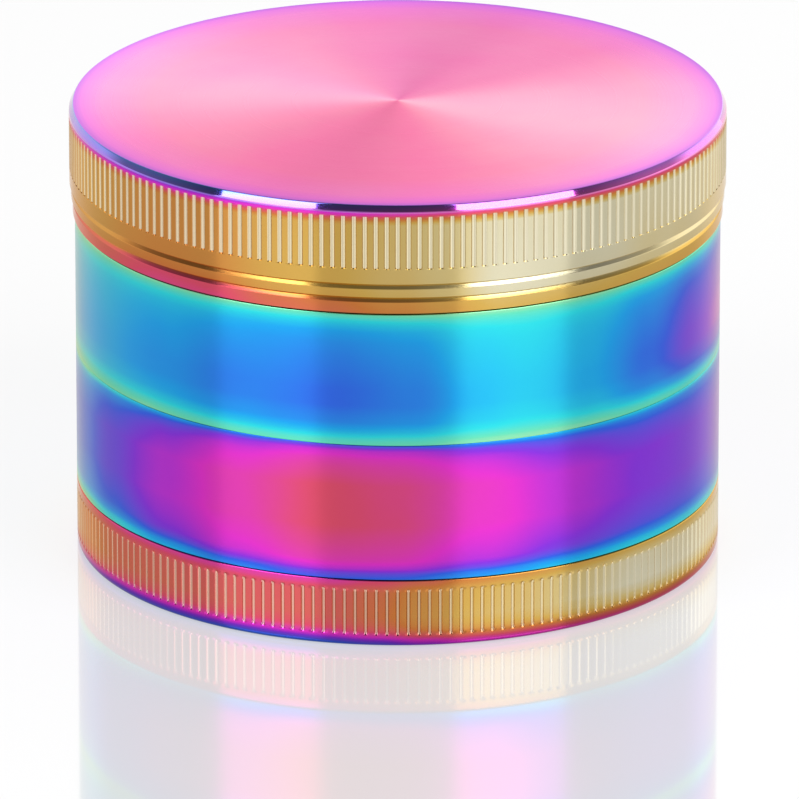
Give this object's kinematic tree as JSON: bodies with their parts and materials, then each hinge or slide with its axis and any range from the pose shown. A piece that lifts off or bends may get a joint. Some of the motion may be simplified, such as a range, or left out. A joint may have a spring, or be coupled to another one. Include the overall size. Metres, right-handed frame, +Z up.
{
  "type": "herb grinder",
  "caption": "Round screw-together herb grinder with a fluted magnetic lid, toothed tray, sieve chamber and fluted catch base, in rainbow-filmed metal.",
  "frame": {"origin": "centre of the flat underside of the base, on the surface that the grinder stands on", "axes": "+Z up along the axis of the stack; +X runs through a gap between the teeth and is otherwise free"},
  "size_m": [0.063, 0.063, 0.0442],
  "materials": {
    "lid_film": "polished",
    "tray_film": "satin",
    "chamber_film": "satin",
    "base_film": "polished",
    "magnet_nickel": "polished",
    "slip_polymer": "matte",
    "sieve_steel": "satin",
    "ring_steel": "satin"
  },
  "bodies": {
    "base": {"base_cup": "base_film"},
    "sieve": {"mesh_screen": "sieve_steel", "screen_retaining_ring": "ring_steel"},
    "chamber": {"screen_chamber": "chamber_film"},
    "tray_core": {"tray_magnet": "magnet_nickel"},
    "tray": {"grinding_tray": "tray_film", "tray_floor": "tray_film", "tray_post": "tray_film", "tray_inner_teeth": "tray_film", "tray_outer_teeth": "tray_film"},
    "slip": {"slip_ring": "slip_polymer"},
    "lid": {"lid": "lid_film", "lid_inner_teeth": "lid_film", "lid_outer_teeth": "lid_film", "lid_magnet": "magnet_nickel"}
  },
  "joints": [
    {"name": "chamber_lift", "type": "slide", "parent": "base", "child": "sieve", "axis": [0, 0, 1], "range_m": [0, 0.03]},
    {"name": "chamber_turn", "type": "hinge", "parent": "sieve", "child": "chamber", "pos_m": [0, 0, 0.011], "axis": [0, 0, 1], "range_deg": [0, 720]},
    {"name": "tray_lift", "type": "slide", "parent": "chamber", "child": "tray_core", "axis": [0, 0, 1], "range_m": [0, 0.03]},
    {"name": "tray_turn", "type": "hinge", "parent": "tray_core", "child": "tray", "pos_m": [0, 0, 0.0337], "axis": [0, 0, 1], "range_deg": [0, 720]},
    {"name": "lid_lift", "type": "slide", "parent": "tray", "child": "slip", "axis": [0, 0, 1], "range_m": [0, 0.03]},
    {"name": "lid_spin", "type": "hinge", "parent": "slip", "child": "lid", "pos_m": [0, 0, 0.0349], "axis": [0, 0, 1], "continuous": true}
  ]
}
